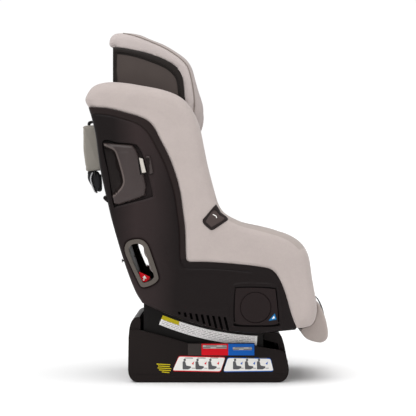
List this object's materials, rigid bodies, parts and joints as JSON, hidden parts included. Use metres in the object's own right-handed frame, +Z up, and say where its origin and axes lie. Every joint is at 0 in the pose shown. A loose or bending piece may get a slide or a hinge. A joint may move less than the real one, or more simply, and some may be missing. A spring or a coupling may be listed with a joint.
{
  "type": "convertible child car seat",
  "caption": "Convertible child car seat: moulded shell on an arc-track base, padded cover, sliding headrest, harness, side pods, fold-out cup holders and calf support.",
  "frame": {"origin": "centre of the flat underside of the base", "axes": "+X the way the child faces, +Y the child's left, +Z up"},
  "size_m": [0.5374, 0.458, 0.7515],
  "materials": {
    "base_plastic": "fine grained",
    "black_rubber": "matt",
    "track_plastic": "fine grained",
    "steel": "brushed",
    "scale_grey": "satin label",
    "scale_red": "satin label",
    "scale_blue": "satin label",
    "shell_plastic": "fine grained",
    "inner_plastic": "fine grained",
    "seat_fabric": "knit, matt",
    "guide_plastic": "satin",
    "bezel_plastic": "satin",
    "red_marker": "satin",
    "webbing": "woven webbing",
    "sleeve_fabric": "woven",
    "hook_steel": "black coated",
    "control_plastic": "satin",
    "headrest_plastic": "fine grained",
    "headrest_panel": "fine grained",
    "headrest_fabric": "knit, matt",
    "pod_plastic": "fine grained",
    "tab_plastic": "satin",
    "cup_plastic": "fine grained"
  },
  "bodies": {
    "base": {"base_housing": "base_plastic", "foot_pads": "black_rubber", "track_housings": "track_plastic", "recline_rack": "steel", "scale_grey": "scale_grey", "scale_red": "scale_red", "scale_blue": "scale_blue", "base_screws": "steel"},
    "seat_shell": {"side_shell_right": "shell_plastic", "side_shell_left": "shell_plastic", "back_shell": "shell_plastic", "bottom_shell": "shell_plastic", "back_liner": "inner_plastic", "seat_pan": "inner_plastic", "front_panel": "inner_plastic", "recline_carriage": "track_plastic", "lock_bracket": "steel", "lock_spring": "steel", "side_cover_right": "seat_fabric", "side_cover_left": "seat_fabric", "side_bolsters": "seat_fabric", "top_cover_band": "seat_fabric", "seat_cushion": "seat_fabric", "back_pad": "seat_fabric", "front_apron": "seat_fabric", "belt_guides": "guide_plastic", "belt_path_bezels": "bezel_plastic", "belt_path_markers": "red_marker", "guide_rods": "steel", "tether_strap": "webbing", "tether_sleeve": "sleeve_fabric", "tether_hook": "hook_steel", "shell_screws": "steel", "shoulder_straps_lower": "webbing", "lap_straps": "webbing", "crotch_strap": "webbing", "adjuster_bezel": "control_plastic", "adjuster_strap": "webbing"},
    "headrest": {"headrest_shell": "headrest_plastic", "headrest_wings": "headrest_fabric", "headrest_pad": "headrest_fabric", "headrest_side_panels": "headrest_panel", "shoulder_straps_upper": "webbing"},
    "headrest_handle": {"headrest_handle": "control_plastic"},
    "sip_pod_right": {"sip_pod_right": "pod_plastic"},
    "sip_pod_left": {"sip_pod_left": "pod_plastic"},
    "sip_tab_right": {"sip_tab_right": "tab_plastic"},
    "sip_tab_left": {"sip_tab_left": "tab_plastic"},
    "cup_ring_right": {"cup_ring_right": "cup_plastic"},
    "cup_ring_left": {"cup_ring_left": "cup_plastic"},
    "cup_floor_right": {"cup_floor_right": "cup_plastic"},
    "cup_floor_left": {"cup_floor_left": "cup_plastic"},
    "crotch_buckle": {"buckle_body": "control_plastic", "buckle_tongues": "steel"},
    "buckle_button": {"buckle_button": "red_marker"},
    "chest_clip": {"chest_clip": "control_plastic"},
    "adjuster_button": {"adjuster_button": "control_plastic"},
    "recline_handle": {"recline_handle": "control_plastic"},
    "lock_pin": {"lock_pin": "steel"},
    "calf_support": {"calf_support": "seat_fabric"}
  },
  "joints": [
    {"name": "recline", "type": "hinge", "parent": "base", "child": "seat_shell", "pos_m": [0.13, 0, 0.696], "axis": [0, -1, 0], "range_deg": [0, 14]},
    {"name": "headrest_height", "type": "slide", "parent": "seat_shell", "child": "headrest", "axis": [-0.14, 0, 0.9902], "range_m": [-0.035, 0.06], "deforming": ["shoulder_straps_upper"]},
    {"name": "headrest_handle_pull", "type": "slide", "parent": "headrest", "child": "headrest_handle", "axis": [0, 0, 1], "range_m": [0, 0.008], "stiffness_N_per_m": 400, "springref_m": -0.004},
    {"name": "sip_pod_right_hinge", "type": "hinge", "parent": "seat_shell", "child": "sip_pod_right", "pos_m": [-0.21854, -0.221, 0.51043], "axis": [0.1707, 0, -0.9853], "range_deg": [0, 65]},
    {"name": "sip_pod_left_hinge", "type": "hinge", "parent": "seat_shell", "child": "sip_pod_left", "pos_m": [-0.21854, 0.221, 0.51043], "axis": [-0.1707, 0, 0.9853], "range_deg": [0, 65]},
    {"name": "sip_tab_right_press", "type": "slide", "parent": "sip_pod_right", "child": "sip_tab_right", "axis": [-1, 0, 0], "range_m": [0, 0.003], "stiffness_N_per_m": 200, "springref_m": -0.003},
    {"name": "sip_tab_left_press", "type": "slide", "parent": "sip_pod_left", "child": "sip_tab_left", "axis": [-1, 0, 0], "range_m": [0, 0.003], "stiffness_N_per_m": 200, "springref_m": -0.003},
    {"name": "cup_ring_right_fold", "type": "hinge", "parent": "seat_shell", "child": "cup_ring_right", "pos_m": [0.099, -0.221, 0.132], "axis": [1, 0, 0], "range_deg": [0, 88]},
    {"name": "cup_ring_left_fold", "type": "hinge", "parent": "seat_shell", "child": "cup_ring_left", "pos_m": [0.099, 0.221, 0.132], "axis": [-1, 0, 0], "range_deg": [0, 88]},
    {"name": "cup_floor_right_drop", "type": "slide", "parent": "cup_ring_right", "child": "cup_floor_right", "axis": [0, -1, 0], "range_m": [0, 0.003]},
    {"name": "cup_floor_left_drop", "type": "slide", "parent": "cup_ring_left", "child": "cup_floor_left", "axis": [0, 1, 0], "range_m": [0, 0.003]},
    {"name": "buckle_tilt", "type": "hinge", "parent": "seat_shell", "child": "crotch_buckle", "pos_m": [0.0995, 0, 0.306], "axis": [0, 1, 0], "range_deg": [0, 25], "deforming": ["shoulder_straps_lower", "lap_straps"]},
    {"name": "buckle_button_press", "type": "slide", "parent": "crotch_buckle", "child": "buckle_button", "axis": [0, 0, -1], "range_m": [0, 0.0018], "stiffness_N_per_m": 600, "springref_m": -0.003},
    {"name": "chest_clip_slide", "type": "slide", "parent": "seat_shell", "child": "chest_clip", "axis": [0.343, 0, -0.9393], "range_m": [0, 0.03]},
    {"name": "adjuster_button_press", "type": "slide", "parent": "seat_shell", "child": "adjuster_button", "axis": [-1, 0, 0], "range_m": [0, 0.004], "stiffness_N_per_m": 400, "springref_m": -0.004},
    {"name": "recline_handle_pull", "type": "hinge", "parent": "seat_shell", "child": "recline_handle", "pos_m": [0.162, 0, 0.138], "axis": [0, -1, 0], "range_deg": [0, 18], "stiffness_Nm_per_rad": 0.8, "springref_deg": -17.19},
    {"name": "lock_pin_lift", "type": "slide", "parent": "seat_shell", "child": "lock_pin", "axis": [0.2965, 0, 0.955], "range_m": [0, 0.008], "deforming": ["lock_spring"]},
    {"name": "calf_support_slide", "type": "slide", "parent": "seat_shell", "child": "calf_support", "axis": [0.37, 0, -0.929], "range_m": [0, 0.05]}
  ],
  "couplings": [
    {"joint": "lock_pin_lift", "follows": "recline_handle_pull", "m_per_rad": 0.0229}
  ]
}
